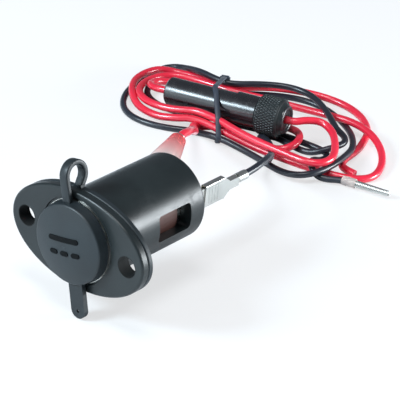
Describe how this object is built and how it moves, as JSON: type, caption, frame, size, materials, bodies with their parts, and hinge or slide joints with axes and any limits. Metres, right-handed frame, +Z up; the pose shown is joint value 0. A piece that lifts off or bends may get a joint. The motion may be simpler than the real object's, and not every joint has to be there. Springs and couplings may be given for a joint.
{
  "type": "panel power socket",
  "caption": "Oval-flanged low-voltage panel power socket with hinged rubber cap, windowed barrel, push-on terminals, and a tied hank of leads with an in-line fuse holder.",
  "frame": {"origin": "middle of the two screw holes, on the gasket's rear face, which lies on the panel", "axes": "+X along the screw holes, to the right seen from the front; +Y into the panel, along the barrel; +Z up, square to the row of screw holes"},
  "size_m": [0.1209, 0.1895, 0.0506],
  "materials": {
    "black_plastic": "satin moulded",
    "black_gloss": "polished moulded",
    "black_rubber": "matte moulded",
    "plated_steel": "nickel plated",
    "fibre_board": "pressed fibre",
    "bare_brass": "drawn",
    "tinned_brass": "bright tin plated",
    "clear_vinyl": "translucent",
    "red_insulation": "smooth vinyl",
    "black_insulation": "smooth vinyl",
    "tie_nylon": "smooth nylon",
    "fuse_glass": "clear",
    "nickel": "bright nickel"
  },
  "bodies": {
    "socket": {"socket_housing": "black_plastic", "gasket": "black_rubber", "cap_strap": "black_rubber", "contact_shell": "plated_steel", "contact_washer": "fibre_board", "rear_insulator": "fibre_board", "centre_contact": "bare_brass", "ground_blade": "tinned_brass", "live_lug": "tinned_brass", "ground_terminal": "tinned_brass", "live_terminal": "tinned_brass", "live_terminal_sleeve": "clear_vinyl", "live_lead": "red_insulation", "ground_lead": "black_insulation", "lead_hank": "red_insulation", "cable_tie": "tie_nylon", "fuse_lead": "red_insulation", "feed_lead": "red_insulation", "ground_tail": "black_insulation", "ground_end_ferrule": "clear_vinyl", "ground_end_strands": "tinned_brass", "fuse_holder_body": "black_gloss", "fuse_body_contact": "bare_brass", "fuse_spring": "plated_steel", "fuse_glass": "fuse_glass", "fuse_end_cap_live": "nickel", "fuse_end_cap_feed": "nickel", "fuse_element": "tinned_brass"},
    "socket_cap": {"cap": "black_rubber"},
    "fuse_contact_carrier": {"fuse_cap_contact": "bare_brass"},
    "fuse_screw_cap": {"fuse_holder_cap": "black_plastic"}
  },
  "joints": [
    {"name": "cap_hinge", "type": "hinge", "parent": "socket", "child": "socket_cap", "pos_m": [-0.00437, -0.0026, 0.02054], "axis": [-0.9781, 0, -0.2079], "range_deg": [0, 115], "deforming": ["cap_strap"]},
    {"name": "fuse_cap_travel", "type": "slide", "parent": "socket", "child": "fuse_contact_carrier", "axis": [0.9694, 0.2417, 0.0436], "range_m": [0, 0.002]},
    {"name": "fuse_cap_screw", "type": "hinge", "parent": "fuse_contact_carrier", "child": "fuse_screw_cap", "pos_m": [-0.03111, 0.13385, -0.01497], "axis": [0.9694, 0.2417, 0.0436], "range_deg": [0, 720]}
  ],
  "couplings": [
    {"joint": "fuse_cap_screw", "follows": "fuse_cap_travel", "rad_per_m": 6283}
  ]
}
